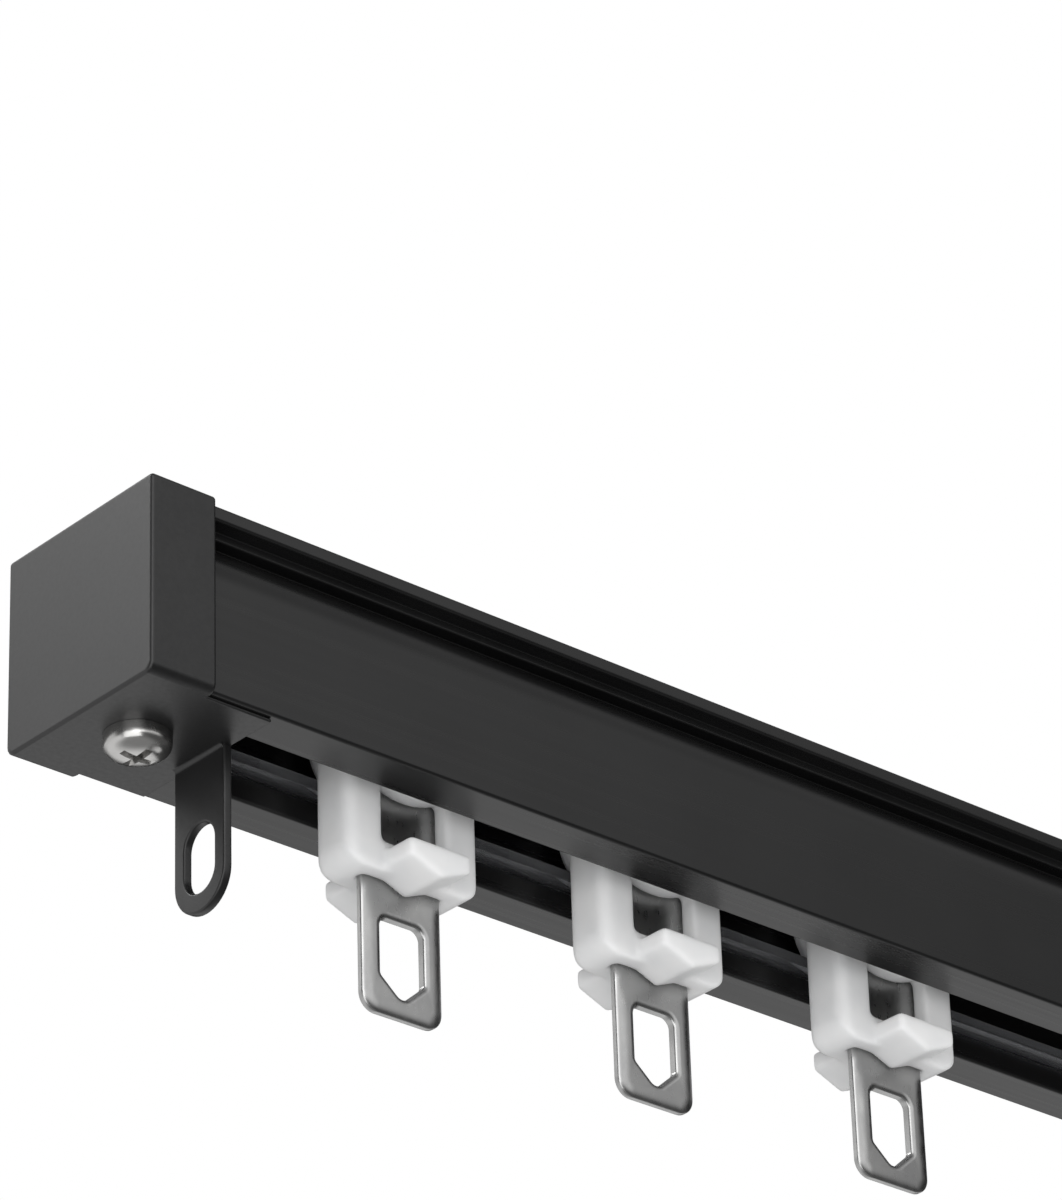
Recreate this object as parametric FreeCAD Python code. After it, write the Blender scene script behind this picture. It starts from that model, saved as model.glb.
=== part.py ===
import FreeCAD, Part
import math
import os

# Ceiling curtain track with roller carriers, in millimetres.
# The origin is the centre of the track's top face, where it meets the ceiling.
# +X runs along the track away from the end cap, +Z points up into the ceiling.

Vec = FreeCAD.Vector
X_AXIS = Vec(1, 0, 0)
Y_AXIS = Vec(0, 1, 0)
Z_AXIS = Vec(0, 0, 1)
SIDES = {"left": 1, "right": -1}

# Extruded track
track_length = 300.0
track_width = 25.0
track_height = 24.5
crown_thickness = 3.0
flange_edge_thickness = 1.9
flange_step_width = 2.3
neck_inset = 4.15
shoulder_radius = 7.25
shoulder_drop = 10.0
wall_thickness = 2.4
channel_radius = 7.3
lip_thickness = 3.8
lip_inner_height = 3.1
lip_width = 3.8
track_edge_bevel = 0.3

# Clear running strips, one in each lip
strip_overhang = 15.0
strip_head_width = 5.3
strip_edge_thickness = 1.4
strip_hollow = 0.65
strip_neck_width = 0.9
strip_wall_clearance = 0.15
strip_seat_clearance = 0.05
bulb_offset = 0.4
bulb_radius = 0.9
bulb_drop = 1.15
groove_mouth_width = 1.2

# Wheels and axle of a carrier
wheel_head_clearance = 3.1
wheel_thickness = 3.3
rolling_gap = 0.3
axle_radius = 2.75
axle_end_margin = 0.2
axle_wheel_clearance = 0.05
axle_body_clearance = 0.02

# Moulded carrier body
body_length = 20.0
body_thickness = 6.6
body_above_axle = 3.85
body_below_axle = 20.3
body_upright_radius = 1.4
body_foot_radius = 2.9
body_shoulder_bevel = 1.0
boss_wheel_margin = 0.65
boss_wheel_gap = 0.2
boss_top_setback = 0.8
window_half_length = 4.85
window_sill_height = 3.95
window_arch_drop = 9.45
window_arch_radius = 10.5
top_slot_depth = 4.5
wing_half_length = 4.7
wing_half_span = 8.05
wing_top_height = 2.8
wing_side_height = 2.2
wing_keel_height = 4.1
wing_bevel = 0.4

# Stamped hook plate
plate_thickness = 1.5
plate_half_width = 6.0
plate_below_body = 16.65
plate_top_setback = 1.2
plate_corner_radius = 2.3
plate_clearance = 0.03
eye_half_width = 3.3
eye_top_depth = 4.3
eye_side_depth = 11.7
eye_point_depth = 14.15
eye_point_half_width = 0.4
eye_corner_radius = 1.3

# Where the carriers stand, measured from the two ends of the track
capped_end_carriers = 3
capped_end_first = 37.4
capped_end_pitch = 39.4
open_end_carriers = 1
open_end_last = 0.0
open_end_pitch = 27.0

# End cap with its tab
cap_depth = 9.3
cap_side_margin = 1.04
cap_top_margin = 0.4
cap_bottom_margin = 0.5
cap_edge_radius = 1.2
cap_end_wall = 2.0
cap_spigot_length = 6.0
cap_spigot_wall = 1.4
cap_fit_clearance = 0.2
cap_seat_clearance = 0.03
cap_floor_rise = 0.3
tongue_length = 9.2
tongue_inset = 0.7
rib_head_clearance = 0.3
tab_thickness = 1.2
tab_half_width = 4.6
tab_drop = 19.6
tab_eye_half_width = 2.7
tab_eye_top = 8.4
tab_eye_bottom = 17.1

# Screw and clamp plate of the end cap
screw_inset = 8.5
screw_radius = 2.0
screw_length = 10.0
screw_clearance = 0.05
screw_head_radius = 4.0
screw_head_rim = 2.05
screw_crown_rise = 0.45
screw_crown_taper = 0.3
cross_width = 1.1
cross_length = 4.6
cross_depth = 1.1
clamp_length = 11.5
clamp_side_clearance = 0.5
clamp_thickness = 2.5

# Heights and widths that follow from the sizes above
half_width = track_width / 2
inner_half_width = half_width - wall_thickness
neck_half_width = half_width - neck_inset
slot_half_width = inner_half_width - lip_width
lip_top_z = lip_thickness - track_height
shoulder_z = -shoulder_drop
strip_bottom_z = lip_top_z + strip_seat_clearance
strip_edge_z = strip_bottom_z + strip_edge_thickness
strip_seat_z = strip_edge_z - strip_hollow
strip_centre_y = inner_half_width - strip_wall_clearance - strip_head_width / 2
bulb_centre_y = strip_centre_y + bulb_offset
bulb_z = lip_top_z - bulb_drop
groove_radius = bulb_radius + strip_seat_clearance
wheel_bottom_z = strip_seat_z + rolling_gap
wheel_top_z = -crown_thickness - wheel_head_clearance
wheel_radius = (wheel_top_z - wheel_bottom_z) / 2
boss_radius = wheel_radius - boss_wheel_margin
axle_z = wheel_bottom_z + wheel_radius
body_top_z = axle_z + body_above_axle
body_bottom_z = axle_z - body_below_axle
plate_bottom_z = body_bottom_z - plate_below_body
plate_top_z = body_top_z - plate_top_setback
wheel_inner_y = strip_centre_y - wheel_thickness / 2
wheel_outer_y = strip_centre_y + wheel_thickness / 2
boss_end_y = wheel_inner_y - boss_wheel_gap
cap_outer_x = -track_length / 2 - cap_depth
track_start_x = -track_length / 2
track_end_x = track_length / 2
cap_bottom_z = -track_height - cap_bottom_margin
cap_floor_z = strip_edge_z + cap_floor_rise
tongue_half_width = half_width - tongue_inset
clamp_half_width = inner_half_width - cap_fit_clearance - cap_spigot_wall - clamp_side_clearance
screw_head_height = screw_head_rim + screw_crown_rise
screw_x = cap_outer_x + screw_inset


def closed_face(edges):
    """One flat face inside a closed loop of edges."""
    wire = Part.Wire(Part.__sortEdges__(edges))
    return Part.Face(wire)


def line(start, end):
    return Part.LineSegment(start, end).toShape()


def arc(start, middle, end):
    return Part.Arc(start, middle, end).toShape()


def section_point(y, z):
    """A point of a section across the track."""
    return Vec(0, y, z)


def polyline(points):
    return [line(a, b) for a, b in zip(points, points[1:])]


def mirrored(shape):
    """The same shape on the other side of the track's middle plane."""
    return shape.mirror(Vec(0, 0, 0), Y_AXIS)


def box_between(low, high):
    """A box from its lowest to its highest corner."""
    size = high - low
    return Part.makeBox(size.x, size.y, size.z, low)


def bar_across(x, z, radius, start_y, end_y):
    """A round bar across the track, from one y to another."""
    return Part.makeCylinder(radius, end_y - start_y, Vec(x, start_y, z), Y_AXIS)


def edges_where(shape, test):
    """The edges whose middle point passes a test."""
    return [edge for edge in shape.Edges if test(edge.CenterOfMass)]


def box_rounded_along(axis, low, high, radius, test=None):
    """A box whose edges along one axis are rounded, or only those that pass a test."""
    box = box_between(low, high)
    half = (high - low).dot(axis) / 2
    edges = [edge for edge in box.Edges if abs(edge.Length - 2 * half) < 1e-6]
    edges = [edge for edge in edges if abs(edge.tangentAt(edge.FirstParameter).dot(axis)) > 0.99]
    if test:
        edges = [edge for edge in edges if test(edge.CenterOfMass)]
    return box.makeFillet(radius, edges)


def channel_face(inset, floor_z):
    """The inside of the track down to a floor, pulled in by an inset."""
    radius = channel_radius - inset
    centre_y = inner_half_width - channel_radius
    ceiling_z = -crown_thickness - inset
    rise = ceiling_z - shoulder_z
    ceiling_y = centre_y + math.sqrt(radius ** 2 - rise ** 2)
    wall_y = inner_half_width - inset
    half_angle = math.asin(rise / radius) / 2
    middle_y = centre_y + radius * math.cos(half_angle)
    middle_z = shoulder_z + radius * math.sin(half_angle)
    edges = [line(section_point(-ceiling_y, ceiling_z), section_point(ceiling_y, ceiling_z))]
    for side in SIDES.values():
        ceiling_end = section_point(side * ceiling_y, ceiling_z)
        arc_middle = section_point(side * middle_y, middle_z)
        wall_top = section_point(side * wall_y, shoulder_z)
        wall_bottom = section_point(side * wall_y, floor_z)
        edges.append(arc(ceiling_end, arc_middle, wall_top))
        edges.append(line(wall_top, wall_bottom))
    edges.append(line(section_point(-wall_y, floor_z), section_point(wall_y, floor_z)))
    return closed_face(edges)


def track_outline():
    """The outside of the track's section, with its clip grooves and the slot still closed."""
    centre_y = half_width - shoulder_radius
    neck_rise = math.sqrt(shoulder_radius ** 2 - (neck_half_width - centre_y) ** 2)
    neck_angle = math.atan2(neck_rise, neck_half_width - centre_y)
    step_y = half_width - flange_step_width
    edges = [line(section_point(-half_width, 0), section_point(half_width, 0))]
    for side in SIDES.values():
        neck_foot = section_point(side * neck_half_width, shoulder_z + neck_rise)
        edges += polyline([
            section_point(side * half_width, 0),
            section_point(side * half_width, -flange_edge_thickness),
            section_point(side * step_y, -flange_edge_thickness),
            section_point(side * step_y, -crown_thickness),
            section_point(side * neck_half_width, -crown_thickness),
            neck_foot,
        ])
        arc_middle = section_point(
            side * (centre_y + shoulder_radius * math.cos(neck_angle / 2)),
            shoulder_z + shoulder_radius * math.sin(neck_angle / 2),
        )
        shoulder_end = section_point(side * half_width, shoulder_z)
        edges.append(arc(neck_foot, arc_middle, shoulder_end))
        edges.append(line(shoulder_end, section_point(side * half_width, -track_height)))
    edges.append(line(section_point(-half_width, -track_height), section_point(half_width, -track_height)))
    return closed_face(edges)


def lip_corner_face():
    """The bevel taken off the top inner corner of a lip."""
    corner_z = lip_inner_height - track_height
    mouth_y = bulb_centre_y - groove_mouth_width / 2
    return closed_face(polyline([
        section_point(slot_half_width, corner_z),
        section_point(slot_half_width, lip_top_z),
        section_point(mouth_y, lip_top_z),
        section_point(slot_half_width, corner_z),
    ]))


def make_track():
    """The extrusion: flanged crown, round shoulders, side walls and two lips with grooves."""
    along = X_AXIS * track_length
    start = Vec(track_start_x, 0, 0)
    outside = track_outline().extrude(along)
    channel = channel_face(0, lip_top_z).extrude(along)
    low = Vec(0, -slot_half_width, -track_height)
    high = Vec(track_length, slot_half_width, lip_top_z)
    track = outside.cut(channel).cut(box_between(low, high))
    mouth_low = Vec(0, bulb_centre_y - groove_mouth_width / 2, bulb_z)
    mouth_high = Vec(track_length, bulb_centre_y + groove_mouth_width / 2, lip_top_z)
    groove = Part.makeCylinder(groove_radius, track_length, Vec(0, bulb_centre_y, bulb_z), X_AXIS)
    cuts = [groove, box_between(mouth_low, mouth_high), lip_corner_face().extrude(along)]
    for cut in cuts:
        track = track.cut(cut).cut(mirrored(cut))
    track = track.removeSplitter()
    outer_corners = [(half_width, 0), (half_width, -flange_edge_thickness), (half_width, -track_height),
                     (slot_half_width, -track_height)]
    edges = edges_where(track, lambda middle: any(
        abs(middle.x - track_length / 2) < 0.01 and abs(abs(middle.y) - y) < 0.01 and abs(middle.z - z) < 0.01
        for y, z in outer_corners))
    track = track.makeChamfer(track_edge_bevel, edges)
    track.translate(start)
    return track


def make_strip(side):
    """A clear strip: a hollowed head for the wheels, a short neck and a bulb in the lip's groove."""
    half_head = strip_head_width / 2
    half_neck = strip_neck_width / 2
    neck_end_z = bulb_z + math.sqrt(bulb_radius ** 2 - half_neck ** 2)
    inner_top = section_point(strip_centre_y - half_head, strip_edge_z)
    outer_top = section_point(strip_centre_y + half_head, strip_edge_z)
    inner_neck = section_point(bulb_centre_y - half_neck, neck_end_z)
    outer_neck = section_point(bulb_centre_y + half_neck, neck_end_z)
    edges = [arc(inner_top, section_point(strip_centre_y, strip_seat_z), outer_top)]
    edges += polyline([
        outer_top,
        section_point(strip_centre_y + half_head, strip_bottom_z),
        section_point(bulb_centre_y + half_neck, strip_bottom_z),
        outer_neck,
    ])
    edges.append(arc(outer_neck, section_point(bulb_centre_y, bulb_z - bulb_radius), inner_neck))
    edges += polyline([
        inner_neck,
        section_point(bulb_centre_y - half_neck, strip_bottom_z),
        section_point(strip_centre_y - half_head, strip_bottom_z),
        inner_top,
    ])
    strip = closed_face(edges).extrude(X_AXIS * (track_length + strip_overhang))
    strip.translate(Vec(track_start_x, 0, 0))
    return strip if side > 0 else mirrored(strip)


def body_side_face(x):
    """The carrier body seen from the side: bevelled top corners and rounded feet."""
    half = body_length / 2
    bevel = body_shoulder_bevel
    radius = body_foot_radius
    bend = radius * (1 - math.cos(math.pi / 4))
    y = -body_thickness / 2
    edges = [
        line(Vec(x - half + bevel, y, body_top_z), Vec(x + half - bevel, y, body_top_z)),
        line(Vec(x - half + radius, y, body_bottom_z), Vec(x + half - radius, y, body_bottom_z)),
    ]
    for side in SIDES.values():
        bevel_start = Vec(x + side * (half - bevel), y, body_top_z)
        bevel_end = Vec(x + side * half, y, body_top_z - bevel)
        foot_start = Vec(x + side * half, y, body_bottom_z + radius)
        foot_middle = Vec(x + side * (half - bend), y, body_bottom_z + bend)
        foot_end = Vec(x + side * (half - radius), y, body_bottom_z)
        edges += polyline([bevel_start, bevel_end, foot_start])
        edges.append(arc(foot_start, foot_middle, foot_end))
    return closed_face(edges)


def upright_block(x):
    """The carrier's plain body: its side outline, with upright corners rounded seen from above."""
    low = Vec(x - body_length / 2, -body_thickness / 2, body_bottom_z)
    high = Vec(x + body_length / 2, body_thickness / 2, body_top_z)
    outline = body_side_face(x).extrude(Y_AXIS * body_thickness)
    return box_rounded_along(Z_AXIS, low, high, body_upright_radius).common(outline)


def boss(x):
    """The boss between the two wheels: half round below the axle and flat just under the body's top."""
    drum = bar_across(x, axle_z, boss_radius, -boss_end_y, boss_end_y)
    low = Vec(x - boss_radius, -boss_end_y, axle_z)
    high = Vec(x + boss_radius, boss_end_y, body_top_z - boss_top_setback)
    top_low = Vec(x - boss_radius, -boss_end_y, high.z)
    top_high = Vec(x + boss_radius, boss_end_y, axle_z + boss_radius)
    return drum.fuse(box_between(low, high)).cut(box_between(top_low, top_high))


def wing(x):
    """The guide bar under the lips: five-sided in section, with its keel in the middle."""
    top_z = body_bottom_z + wing_top_height
    side_z = top_z - wing_side_height
    keel_z = top_z - wing_keel_height
    corners = [
        Vec(x - wing_half_length, -wing_half_span, top_z),
        Vec(x + wing_half_length, -wing_half_span, top_z),
        Vec(x + wing_half_length, -wing_half_span, side_z),
        Vec(x, -wing_half_span, keel_z),
        Vec(x - wing_half_length, -wing_half_span, side_z),
        Vec(x - wing_half_length, -wing_half_span, top_z),
    ]
    bar = closed_face(polyline(corners)).extrude(Y_AXIS * 2 * wing_half_span)
    uprights = edges_where(bar, lambda middle: (
        abs(middle.z - (top_z + side_z) / 2) < 0.01 and abs(abs(middle.y) - wing_half_span) < 0.01))
    return bar.makeChamfer(wing_bevel, uprights)


def window(x):
    """The window through the body, with a top that is arched down under the axle."""
    low = Vec(x - window_half_length, -body_thickness, body_bottom_z + window_sill_height)
    high = Vec(x + window_half_length, body_thickness, axle_z)
    arch_z = axle_z - window_arch_drop + window_arch_radius
    return box_between(low, high).cut(bar_across(x, arch_z, window_arch_radius, -body_thickness, body_thickness))


def make_body(x):
    """The moulded carrier body with its bosses, wings, window and plate slot."""
    body = upright_block(x).fuse(boss(x)).fuse(wing(x)).removeSplitter()
    plate_half = plate_thickness / 2 + plate_clearance
    slot_low = Vec(x - body_length / 2, -plate_half, body_top_z - top_slot_depth)
    slot_high = Vec(x + body_length / 2, plate_half, body_top_z)
    plate_side = plate_half_width + plate_clearance
    plate_low = Vec(x - plate_side, -plate_half, plate_bottom_z)
    plate_high = Vec(x + plate_side, plate_half, body_top_z)
    bore_radius = axle_radius + axle_body_clearance
    cuts = [
        box_between(slot_low, slot_high),
        box_between(plate_low, plate_high),
        window(x),
        bar_across(x, axle_z, bore_radius, -boss_end_y, boss_end_y),
    ]
    for cut in cuts:
        body = body.cut(cut)
    return body


def eye_face(x):
    """The eye of the hook plate: straight sides that run in to a blunt point."""
    top_z = body_bottom_z - eye_top_depth
    side_z = body_bottom_z - eye_side_depth
    point_z = body_bottom_z - eye_point_depth
    radius = eye_corner_radius
    bend = radius * (1 - math.cos(math.pi / 4))
    y = -plate_thickness / 2
    edges = [
        line(Vec(x - eye_half_width + radius, y, top_z), Vec(x + eye_half_width - radius, y, top_z)),
        line(Vec(x - eye_point_half_width, y, point_z), Vec(x + eye_point_half_width, y, point_z)),
    ]
    for side in SIDES.values():
        corner_top = Vec(x + side * (eye_half_width - radius), y, top_z)
        corner_middle = Vec(x + side * (eye_half_width - bend), y, top_z - bend)
        corner_side = Vec(x + side * eye_half_width, y, top_z - radius)
        side_foot = Vec(x + side * eye_half_width, y, side_z)
        point = Vec(x + side * eye_point_half_width, y, point_z)
        edges.append(arc(corner_top, corner_middle, corner_side))
        edges += polyline([corner_side, side_foot, point])
    return closed_face(edges)


def make_hook_plate(x):
    """The stainless plate: held in the body's slot by the axle, with the curtain's eye below."""
    low = Vec(x - plate_half_width, -plate_thickness / 2, plate_bottom_z)
    high = Vec(x + plate_half_width, plate_thickness / 2, plate_top_z)
    plate = box_between(low, high)
    corners = edges_where(plate, lambda middle: abs(middle.y) < 0.01 and abs(middle.z - plate_bottom_z) < 0.01)
    plate = plate.makeFillet(plate_corner_radius, corners)
    plate = plate.cut(eye_face(x).extrude(Y_AXIS * plate_thickness))
    bore_radius = axle_radius + axle_body_clearance
    return plate.cut(bar_across(x, axle_z, bore_radius, -plate_thickness, plate_thickness))


def make_axle(x):
    """The black steel axle, through both wheels, both bosses and the hook plate."""
    end_y = wheel_outer_y + axle_end_margin
    return bar_across(x, axle_z, axle_radius, -end_y, end_y)


def make_wheel(x, side):
    """A wheel, free on its end of the axle."""
    bore_radius = axle_radius + axle_wheel_clearance
    tread = bar_across(x, axle_z, wheel_radius, wheel_inner_y, wheel_outer_y)
    wheel = tread.cut(bar_across(x, axle_z, bore_radius, wheel_inner_y, wheel_outer_y))
    return wheel if side > 0 else mirrored(wheel)


def cap_block():
    """The cap's outer block, rounded everywhere but where it meets the track."""
    side_y = half_width + cap_side_margin
    low = Vec(cap_outer_x, -side_y, cap_bottom_z)
    high = Vec(track_start_x, side_y, cap_top_margin)
    block = box_rounded_along(X_AXIS, low, high, cap_edge_radius)
    for axis in (Y_AXIS, Z_AXIS):
        block = block.common(box_rounded_along(
            axis, low, high, cap_edge_radius, lambda middle: middle.x < track_start_x - cap_depth / 2))
    return block


def cap_tab():
    """The tab that hangs from the tongue, with a long round-ended eye."""
    end_x = track_start_x + tongue_length
    start_x = end_x - tab_thickness
    bottom_z = cap_bottom_z - tab_drop
    round_z = bottom_z + tab_half_width
    eye_low_z = cap_bottom_z - tab_eye_bottom + tab_eye_half_width
    eye_high_z = cap_bottom_z - tab_eye_top - tab_eye_half_width
    thickness = X_AXIS * tab_thickness
    tab = closed_face(polyline([
        Vec(start_x, -tab_half_width, round_z),
        Vec(start_x, -tab_half_width, cap_bottom_z),
        Vec(start_x, tab_half_width, cap_bottom_z),
        Vec(start_x, tab_half_width, round_z),
    ]) + [arc(
        Vec(start_x, tab_half_width, round_z),
        Vec(start_x, 0, bottom_z),
        Vec(start_x, -tab_half_width, round_z),
    )]).extrude(thickness)
    eye = closed_face([
        line(Vec(start_x, -tab_eye_half_width, eye_low_z), Vec(start_x, -tab_eye_half_width, eye_high_z)),
        line(Vec(start_x, tab_eye_half_width, eye_low_z), Vec(start_x, tab_eye_half_width, eye_high_z)),
        arc(
            Vec(start_x, -tab_eye_half_width, eye_high_z),
            Vec(start_x, 0, eye_high_z + tab_eye_half_width),
            Vec(start_x, tab_eye_half_width, eye_high_z),
        ),
        arc(
            Vec(start_x, -tab_eye_half_width, eye_low_z),
            Vec(start_x, 0, eye_low_z - tab_eye_half_width),
            Vec(start_x, tab_eye_half_width, eye_low_z),
        ),
    ]).extrude(thickness)
    return tab.cut(eye)


def make_end_cap():
    """The cap: a hollow block with a spigot in the channel, a tongue under the lips and a tab."""
    spigot_end_x = track_start_x + cap_spigot_length
    spigot = channel_face(cap_fit_clearance, cap_floor_z).extrude(X_AXIS * cap_spigot_length)
    spigot.translate(Vec(track_start_x, 0, 0))
    hollow_start_x = cap_outer_x + cap_end_wall
    hollow = channel_face(cap_fit_clearance + cap_spigot_wall, cap_floor_z)
    hollow = hollow.extrude(X_AXIS * (spigot_end_x - hollow_start_x))
    hollow.translate(Vec(hollow_start_x, 0, 0))
    tongue_end_x = track_start_x + tongue_length
    tongue_low = Vec(track_start_x, -tongue_half_width, cap_bottom_z)
    tongue_high = Vec(tongue_end_x, tongue_half_width, -track_height - cap_seat_clearance)
    rib_half_width = slot_half_width - cap_fit_clearance
    rib_low = Vec(track_start_x, -rib_half_width, cap_bottom_z)
    rib_high = Vec(tongue_end_x, rib_half_width, strip_bottom_z - rib_head_clearance)
    cap = cap_block().fuse(spigot).fuse(box_between(tongue_low, tongue_high)).fuse(box_between(rib_low, rib_high))
    cap = cap.fuse(cap_tab()).removeSplitter()
    hole_radius = screw_radius + screw_clearance
    hole = Part.makeCylinder(hole_radius, cap_floor_z - cap_bottom_z, Vec(screw_x, 0, cap_bottom_z), Z_AXIS)
    return cap.cut(hollow).cut(hole)


def make_cap_screw():
    """The pan-head screw that draws the clamp plate down, with its cross recess."""
    rim = Part.makeCylinder(screw_head_radius, screw_head_rim, Vec(0, 0, -screw_head_rim), Z_AXIS)
    crown_radius = screw_head_radius - screw_crown_taper
    crown = Part.makeCone(
        crown_radius, screw_head_radius, screw_crown_rise, Vec(0, 0, -screw_head_height), Z_AXIS)
    shank = Part.makeCylinder(screw_radius, screw_length, Vec(0, 0, 0), Z_AXIS)
    screw = rim.fuse(crown).fuse(shank).removeSplitter()
    long_half = cross_length / 2
    short_half = cross_width / 2
    recess_top = cross_depth - screw_head_height
    screw = screw.cut(box_between(
        Vec(-long_half, -short_half, -screw_head_height), Vec(long_half, short_half, recess_top)))
    screw = screw.cut(box_between(
        Vec(-short_half, -long_half, -screw_head_height), Vec(short_half, long_half, recess_top)))
    screw.translate(Vec(screw_x, 0, cap_bottom_z - cap_seat_clearance))
    return screw


def make_clamp_plate():
    """The steel plate inside the cap and channel that the screw pulls down on the lips."""
    start_x = cap_outer_x + cap_end_wall + cap_fit_clearance
    bottom_z = cap_floor_z + cap_seat_clearance
    low = Vec(start_x, -clamp_half_width, bottom_z)
    high = Vec(start_x + clamp_length, clamp_half_width, bottom_z + clamp_thickness)
    hole_radius = screw_radius + screw_clearance
    hole = Part.makeCylinder(hole_radius, clamp_thickness, Vec(screw_x, 0, bottom_z), Z_AXIS)
    return box_between(low, high).cut(hole)


def carrier_positions():
    """Where each carrier's axle stands along the track, from the capped end to the open end."""
    near_cap = [track_start_x + capped_end_first + capped_end_pitch * i for i in range(capped_end_carriers)]
    near_open = [track_end_x - open_end_last - open_end_pitch * i for i in range(open_end_carriers)]
    return near_cap + near_open[::-1]


def make_all():
    """Every piece of the track by its node's name."""
    pieces = {
        "track_profile": make_track(),
        "end_cap": make_end_cap(),
        "cap_screw": make_cap_screw(),
        "cap_clamp_plate": make_clamp_plate(),
    }
    for name, side in SIDES.items():
        pieces["running_strip_" + name] = make_strip(side)
    for number, x in enumerate(carrier_positions(), start=1):
        carrier = "carrier_%d_" % number
        pieces[carrier + "body"] = make_body(x)
        pieces[carrier + "hook_plate"] = make_hook_plate(x)
        pieces[carrier + "axle"] = make_axle(x)
        for name, side in SIDES.items():
            pieces[carrier + "wheel_" + name] = make_wheel(x, side)
    return pieces


os.makedirs("parts", exist_ok=True)
for node, shape in make_all().items():
    shape.exportStep("parts/" + node + ".step")
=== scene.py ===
import math

import bmesh
import bpy
from mathutils import Matrix, Vector


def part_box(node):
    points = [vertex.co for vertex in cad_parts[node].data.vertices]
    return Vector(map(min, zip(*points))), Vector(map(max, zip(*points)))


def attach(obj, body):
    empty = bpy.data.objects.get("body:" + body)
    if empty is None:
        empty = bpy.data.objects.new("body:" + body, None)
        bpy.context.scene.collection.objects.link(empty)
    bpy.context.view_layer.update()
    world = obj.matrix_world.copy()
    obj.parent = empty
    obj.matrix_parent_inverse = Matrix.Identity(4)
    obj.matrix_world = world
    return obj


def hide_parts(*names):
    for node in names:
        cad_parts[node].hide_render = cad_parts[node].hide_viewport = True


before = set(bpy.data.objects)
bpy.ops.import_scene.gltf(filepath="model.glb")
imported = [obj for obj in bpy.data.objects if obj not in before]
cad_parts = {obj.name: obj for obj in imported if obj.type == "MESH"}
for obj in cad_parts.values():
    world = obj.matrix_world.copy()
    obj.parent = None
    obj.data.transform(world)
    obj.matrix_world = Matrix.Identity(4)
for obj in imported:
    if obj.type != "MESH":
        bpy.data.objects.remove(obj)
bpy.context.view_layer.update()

# Looks of a ceiling curtain track. Lengths are in millimetres until they become mesh points.
MM = 0.001
SIDES = {"left": 1, "right": -1}


def reach(node):
    """The low and the high corner of a node's box in the frame, in millimetres to four places."""
    return [Vector([round(value / MM, 4) for value in corner]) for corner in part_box(node)]


# The solids that the looks are fitted to
TRACK_LOW, TRACK_HIGH = reach("track_profile")
STRIP_LOW, STRIP_HIGH = reach("running_strip_left")
CAP_LOW, CAP_HIGH = reach("end_cap")
SCREW_HIGH = reach("cap_screw")[1]
BODY_HIGH = reach("carrier_1_body")[1]
PLATE_LOW, PLATE_HIGH = reach("carrier_1_hook_plate")
AXLE_HIGH = reach("carrier_1_axle")[1]
WHEEL_LOW, WHEEL_HIGH = reach("carrier_1_wheel_left")

# Fineness of the meshes
EDGE_STEPS = 4
ARC_STEPS = 10
SMALL_STEPS = 16
ROUND_STEPS = 20
FINE_STEPS = 24
BORE_STEPS = 60
TURN_STEPS = 96
MERGE_DISTANCE = 0.0001
SHARP_ANGLE = math.radians(38)

# Extruded track, measured down from its top face
TRACK_START = TRACK_LOW.x
TRACK_END = TRACK_HIGH.x
HALF_WIDTH = TRACK_HIGH.y
TRACK_BOTTOM = TRACK_LOW.z
CROWN_BOTTOM = -3.0
FLANGE_BOTTOM = -1.9
STEP_Y = 10.2
STEP_CORNER = 0.12
STEP_FILLET = 0.2
NECK_Y = 8.35
SHOULDER_RADIUS = 7.25
SHOULDER_Z = -10.0
WALL_Y = 10.1
WALL_FILLET = 0.2
CHANNEL_RADIUS = 7.3
LIP_TOP = -20.7
LIP_CORNER = -21.4
LIP_CORNER_RADIUS = 0.1
SLOT_Y = 6.3
EDGE_RADIUS = 0.4
LOWER_EDGE_RADIUS = 0.45
CUT_EDGE = 0.06
CUT_TOLERANCE = 0.001

# Running strips, with the bulbs and grooves that hold them
STRIP_END = STRIP_HIGH.x
STRIP_Y = (STRIP_LOW.y + STRIP_HIGH.y) / 2
STRIP_HALF = (STRIP_HIGH.y - STRIP_LOW.y) / 2
STRIP_TOP = STRIP_HIGH.z
STRIP_THICKNESS = 1.4
STRIP_HOLLOW = 0.65
STRIP_CORNER = 0.15
STRIP_NECK_HALF = 0.45
BULB_Y = 7.7
BULB_RADIUS = 0.9
BULB_Z = TRACK_BOTTOM + 2.65
GROOVE_RADIUS = 0.95
GROOVE_HALF = 0.6
GROOVE_CORNER = 0.08

# End cap: its block, with a tongue and a rib under the lips and a spigot in the channel
CAP_OUTER = CAP_LOW.x
CAP_HALF = CAP_HIGH.y
CAP_TOP = CAP_HIGH.z
CAP_BOTTOM = TRACK_BOTTOM - 0.5
CAP_CORNER = 1.2
CAP_TOP_CORNER = 0.5
CAP_EDGE = 0.45
TONGUE_START = TRACK_START - 4
TONGUE_END = CAP_HIGH.x
TONGUE_HALF = 11.8
TONGUE_TOP = TRACK_BOTTOM - 0.03
TONGUE_CORNER = 0.22
TONGUE_EDGE = 0.21
RIB_START = TRACK_START - 3
RIB_END = TONGUE_END - 0.1
RIB_HALF = 6.1
RIB_TOP = -20.95
RIB_BOTTOM = CAP_BOTTOM + 0.2
RIB_CORNER = 0.4
SPIGOT_START = TRACK_START - 0.5
SPIGOT_END = TRACK_START + 6
SPIGOT_INSET = 0.2
SPIGOT_WALL = 1.4
SPIGOT_FLOOR = -18.95

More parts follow.
